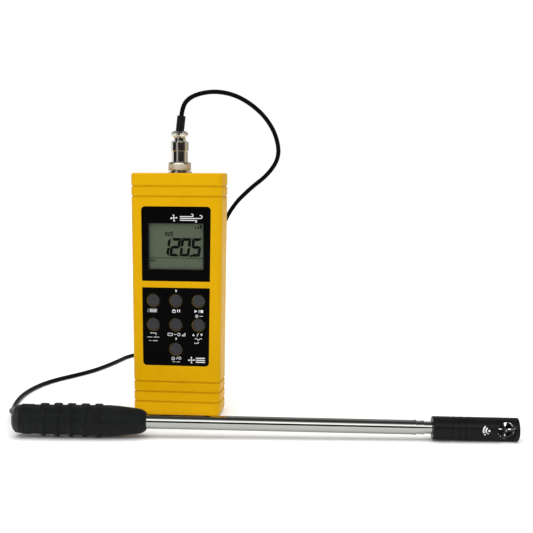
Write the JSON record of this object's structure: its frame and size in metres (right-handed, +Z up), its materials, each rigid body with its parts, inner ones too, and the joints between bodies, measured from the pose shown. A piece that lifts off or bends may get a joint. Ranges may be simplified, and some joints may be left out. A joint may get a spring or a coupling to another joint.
{
  "type": "vane anemometer",
  "caption": "Handheld yellow anemometer with display and keypad, joined by a cord to a telescoping chrome probe whose black head holds a small spinning vane.",
  "frame": {"origin": "on the floor, under the centre of the box round the meter and the probe (cord and its plug left out)", "axes": "+Z up; the meter's face, display and keys look towards -Y; +X runs to the right of the face, the way the probe's head points"},
  "size_m": [0.3995, 0.3367, 0.256],
  "materials": {
    "case_yellow": "satin",
    "overlay_black": "gloss",
    "window_clear": "gloss",
    "lcd_grey_green": "satin",
    "diffuser_white": "matte",
    "key_grey": "matte",
    "zebra_rubber": "matte",
    "board_green": "satin",
    "chip_black": "matte",
    "mat_rubber": "matte",
    "screw_steel": "satin",
    "battery_can": "satin",
    "snap_black": "matte",
    "insert_brass": "satin",
    "connector_chrome": "gloss",
    "insulator_black": "satin",
    "sleeve_rubber": "matte",
    "cord_pvc": "gloss",
    "grip_rubber": "matte",
    "core_plastic": "satin",
    "tube_chrome": "gloss",
    "stop_brass": "satin",
    "head_black": "satin",
    "duct_black": "satin",
    "vane_black": "satin",
    "bearing_black": "satin",
    "shaft_steel": "gloss"
  },
  "bodies": {
    "instrument": {"front_case": "case_yellow", "rear_case": "case_yellow", "display_overlay": "overlay_black", "lcd_window": "window_clear", "keypad_overlay": "overlay_black", "lcd_panel": "lcd_grey_green", "lcd_backing": "diffuser_white", "zebra_strips": "zebra_rubber", "circuit_board": "board_green", "controller_chip": "chip_black", "keypad_mat": "mat_rubber", "case_screws": "screw_steel", "board_screws": "screw_steel", "battery": "battery_can", "battery_snap": "snap_black", "tripod_insert": "insert_brass", "socket_shell": "connector_chrome", "socket_nut": "connector_chrome", "socket_insert": "insulator_black", "socket_pins": "insert_brass", "plug_front_shell": "connector_chrome", "plug_insert": "insulator_black", "plug_rear_shell": "connector_chrome", "gland_nut": "connector_chrome", "strain_sleeve": "sleeve_rubber", "cord": "cord_pvc", "handle_grip": "grip_rubber", "handle_core": "core_plastic", "handle_end_cap": "core_plastic", "cable_grommet": "sleeve_rubber", "tube_1": "tube_chrome"},
    "inner_tube": {"tube_2": "tube_chrome", "tube_2_stop": "stop_brass"},
    "head": {"tube_3": "tube_chrome", "tube_3_stop": "stop_brass", "head_collar": "head_black", "head_set_screw": "screw_steel", "head_body": "head_black", "sensor_board": "board_green", "pickup_sensor": "chip_black", "vane_duct": "duct_black", "front_spider": "duct_black", "rear_spider": "duct_black", "front_bearing": "bearing_black", "rear_bearing": "bearing_black"},
    "vane": {"rotor": "vane_black", "rotor_shaft": "shaft_steel"},
    "coupling_ring": {"coupling_ring": "connector_chrome"},
    "battery_cover": {"battery_cover": "case_yellow", "cover_screws": "screw_steel"},
    "key_menu": {"key_menu": "key_grey"},
    "key_lock": {"key_lock": "key_grey"},
    "key_run": {"key_run": "key_grey"},
    "key_back": {"key_back": "key_grey"},
    "key_area": {"key_area": "key_grey"},
    "key_peak": {"key_peak": "key_grey"},
    "key_power": {"key_power": "key_grey"}
  },
  "joints": [
    {"name": "tube_2_slide", "type": "slide", "parent": "instrument", "child": "inner_tube", "axis": [0.9949, 0.0998, -0.0125], "range_m": [0, 0.256]},
    {"name": "tube_3_slide", "type": "slide", "parent": "inner_tube", "child": "head", "axis": [0.9949, 0.0998, -0.0125], "range_m": [0, 0.256]},
    {"name": "vane_spin", "type": "hinge", "parent": "head", "child": "vane", "pos_m": [0.17248, -0.0123, 0.00836], "axis": [-0.0998, 0.995, 0], "continuous": true},
    {"name": "coupling_ring_turn", "type": "hinge", "parent": "instrument", "child": "coupling_ring", "pos_m": [-0.07412, 0.04162, 0.195], "axis": [0, 0, 1], "range_deg": [0, 360]},
    {"name": "battery_cover_pull", "type": "slide", "parent": "instrument", "child": "battery_cover", "axis": [0, 1, 0], "range_m": [0, 0.02]},
    {"name": "key_menu_press", "type": "slide", "parent": "instrument", "child": "key_menu", "axis": [0, 1, 0], "range_m": [0, 0.0009], "stiffness_N_per_m": 1700},
    {"name": "key_lock_press", "type": "slide", "parent": "instrument", "child": "key_lock", "axis": [0, 1, 0], "range_m": [0, 0.0009], "stiffness_N_per_m": 1700},
    {"name": "key_run_press", "type": "slide", "parent": "instrument", "child": "key_run", "axis": [0, 1, 0], "range_m": [0, 0.0009], "stiffness_N_per_m": 1700},
    {"name": "key_back_press", "type": "slide", "parent": "instrument", "child": "key_back", "axis": [0, 1, 0], "range_m": [0, 0.0009], "stiffness_N_per_m": 1700},
    {"name": "key_area_press", "type": "slide", "parent": "instrument", "child": "key_area", "axis": [0, 1, 0], "range_m": [0, 0.0009], "stiffness_N_per_m": 1700},
    {"name": "key_peak_press", "type": "slide", "parent": "instrument", "child": "key_peak", "axis": [0, 1, 0], "range_m": [0, 0.0009], "stiffness_N_per_m": 1700},
    {"name": "key_power_press", "type": "slide", "parent": "instrument", "child": "key_power", "axis": [0, 1, 0], "range_m": [0, 0.0009], "stiffness_N_per_m": 1700}
  ]
}
